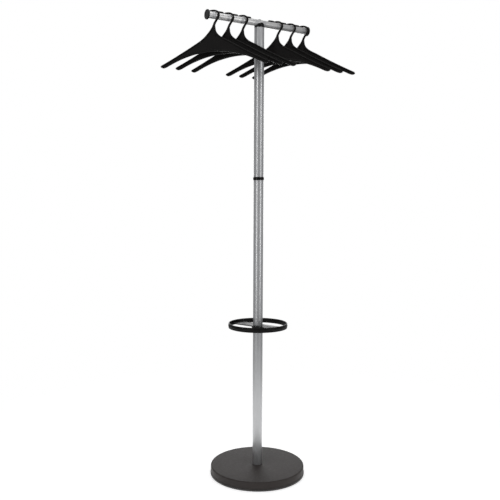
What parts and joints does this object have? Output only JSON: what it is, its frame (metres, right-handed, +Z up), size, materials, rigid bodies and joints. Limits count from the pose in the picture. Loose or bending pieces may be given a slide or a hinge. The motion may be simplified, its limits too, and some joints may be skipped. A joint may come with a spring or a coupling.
{
  "type": "coat stand",
  "caption": "Free-standing coat and valet stand: weighted round base, tube column, umbrella ring and a crossbar with hangers hooked over it.",
  "frame": {"origin": "on the floor, on the column axis, under the middle of the base", "axes": "+Z up along the column, +X along the crossbar, Y across it"},
  "size_m": [0.6966, 0.3732, 1.7827],
  "materials": {
    "cover": "charcoal powder coat, satin",
    "tray": "charcoal moulded, matt",
    "ballast": "rough cast, lacquered",
    "pads": "matt black",
    "silver_tube": "silver metallic powder coat, satin",
    "fasteners": "zinc plated",
    "inserts": "turned steel, bare",
    "collar": "black moulded, semi-gloss",
    "caps": "black moulded, satin",
    "spacers": "black moulded, satin",
    "hangers": "black moulded, satin",
    "umbrella_holder": "black moulded, satin"
  },
  "bodies": {
    "stand": {"base_cover": "cover", "base_tray": "tray", "base_ballast": "ballast", "base_washer": "fasteners", "base_bolt": "fasteners", "foot_pad_1": "pads", "foot_pad_2": "pads", "foot_pad_3": "pads", "foot_pad_4": "pads", "foot_pad_5": "pads", "lower_tube": "silver_tube", "upper_tube": "silver_tube", "foot_insert": "inserts", "lower_joint_insert": "inserts", "upper_joint_insert": "inserts", "joint_stud": "fasteners", "joint_ring": "collar", "bar_saddle": "collar", "top_insert": "inserts", "top_screw": "fasteners", "cross_bar": "silver_tube", "end_cap_left": "caps", "end_cap_right": "caps", "bar_spacer_1": "spacers", "bar_spacer_2": "spacers", "bar_spacer_3": "spacers", "bar_spacer_4": "spacers", "bar_spacer_5": "spacers", "bar_spacer_6": "spacers"},
    "umbrella_holder": {"umbrella_ring": "umbrella_holder", "clamp_screw": "fasteners"},
    "hanger_1_body": {"hanger_1": "hangers"},
    "hanger_2_body": {"hanger_2": "hangers"},
    "hanger_3_body": {"hanger_3": "hangers"},
    "hanger_4_body": {"hanger_4": "hangers"},
    "hanger_5_body": {"hanger_5": "hangers"},
    "hanger_6_body": {"hanger_6": "hangers"}
  },
  "joints": [
    {"name": "umbrella_holder_slide", "type": "slide", "parent": "stand", "child": "umbrella_holder", "axis": [0, 0, 1], "range_m": [-0.535, 0.565]},
    {"name": "hanger_1_swing", "type": "hinge", "parent": "stand", "child": "hanger_1_body", "pos_m": [-0.202, 0, 1.7625], "axis": [1, 0, 0], "range_deg": [-18, 18]},
    {"name": "hanger_2_swing", "type": "hinge", "parent": "stand", "child": "hanger_2_body", "pos_m": [-0.1405, 0, 1.7625], "axis": [1, 0, 0], "range_deg": [-18, 18]},
    {"name": "hanger_3_swing", "type": "hinge", "parent": "stand", "child": "hanger_3_body", "pos_m": [-0.079, 0, 1.7625], "axis": [1, 0, 0], "range_deg": [-18, 18]},
    {"name": "hanger_4_swing", "type": "hinge", "parent": "stand", "child": "hanger_4_body", "pos_m": [0.079, 0, 1.7625], "axis": [1, 0, 0], "range_deg": [-18, 18]},
    {"name": "hanger_5_swing", "type": "hinge", "parent": "stand", "child": "hanger_5_body", "pos_m": [0.1405, 0, 1.7625], "axis": [1, 0, 0], "range_deg": [-18, 18]},
    {"name": "hanger_6_swing", "type": "hinge", "parent": "stand", "child": "hanger_6_body", "pos_m": [0.202, 0, 1.7625], "axis": [1, 0, 0], "range_deg": [-18, 18]}
  ]
}
